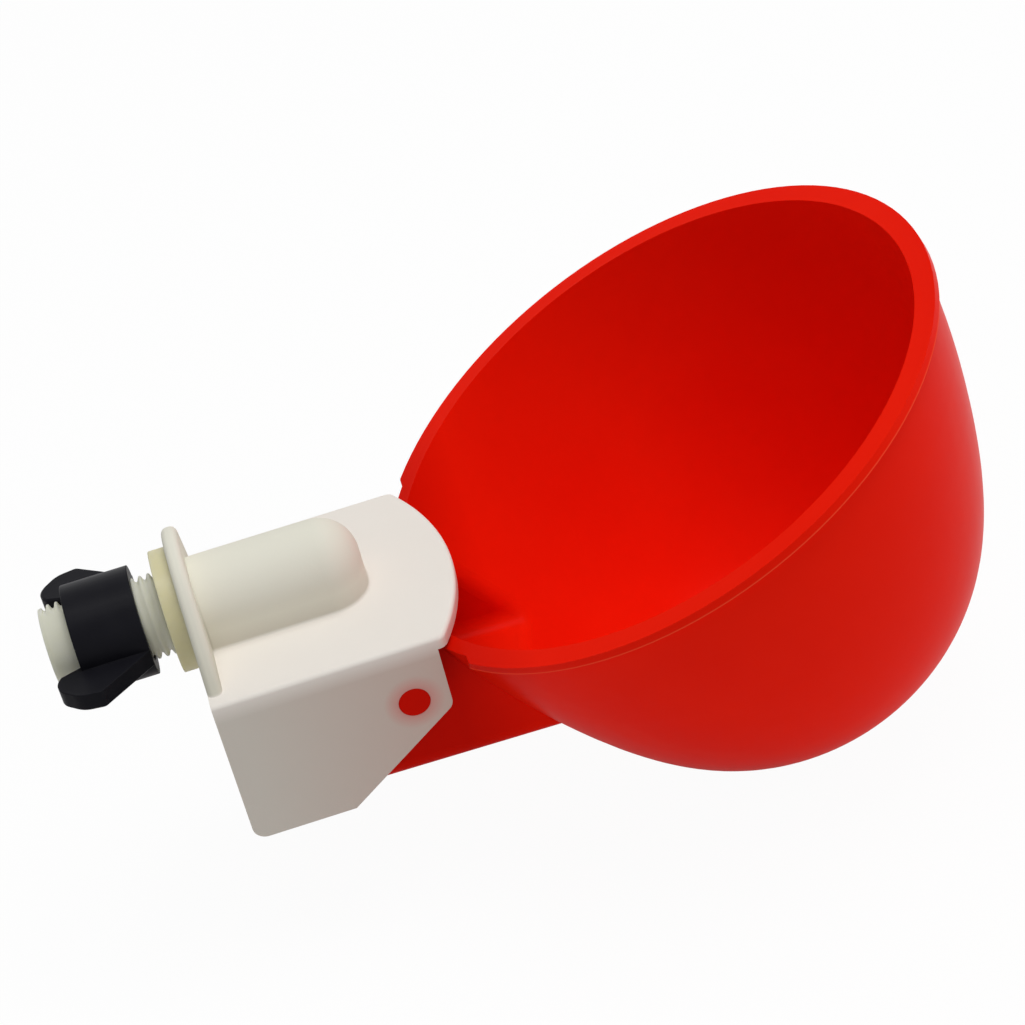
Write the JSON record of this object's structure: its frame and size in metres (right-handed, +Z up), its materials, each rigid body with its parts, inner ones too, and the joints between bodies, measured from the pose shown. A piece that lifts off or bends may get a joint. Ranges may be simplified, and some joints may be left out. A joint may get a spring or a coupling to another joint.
{
  "type": "poultry drinker",
  "caption": "Deep red drinking bowl that swings on a white roofed bracket, hung from a threaded spigot with a sealing washer and a black wing nut",
  "frame": {"origin": "on the spigot's axis, at the outer face of the bracket's back plate", "axes": "+X along the spigot towards the bowl, +Z up, Y across and the plane of symmetry at Y=0 but for the nut's wings"},
  "size_m": [0.1479, 0.099, 0.0815],
  "materials": {
    "bracket_plastic": "moulded white plastic, fine matte grain",
    "spigot_plastic": "cream moulded plastic, threaded",
    "washer_rubber": "translucent yellowish seal",
    "nut_plastic": "black moulded plastic, semi-gloss",
    "cup_plastic": "deep red moulded plastic, glossy outside",
    "nozzle_brass": "turned brass",
    "pad_rubber": "black soft rubber",
    "spring_steel": "drawn stainless wire"
  },
  "bodies": {
    "bracket": {"bracket": "bracket_plastic", "spigot": "spigot_plastic", "sealing_washer": "washer_rubber", "valve_nozzle": "nozzle_brass", "return_spring": "spring_steel"},
    "cup": {"cup": "cup_plastic", "valve_pad": "pad_rubber"},
    "wing_nut": {"wing_nut": "nut_plastic"}
  },
  "joints": [
    {"name": "cup_swing", "type": "hinge", "parent": "bracket", "child": "cup", "pos_m": [0.0294, 0, -0.0149], "axis": [0, 1, 0], "range_deg": [0, 7], "stiffness_Nm_per_rad": 0.08, "springref_deg": -25.78, "deforming": ["return_spring"]},
    {"name": "nut_turn", "type": "hinge", "parent": "bracket", "child": "wing_nut", "pos_m": [-0.012, 0, 0], "axis": [1, 0, 0], "continuous": true}
  ]
}
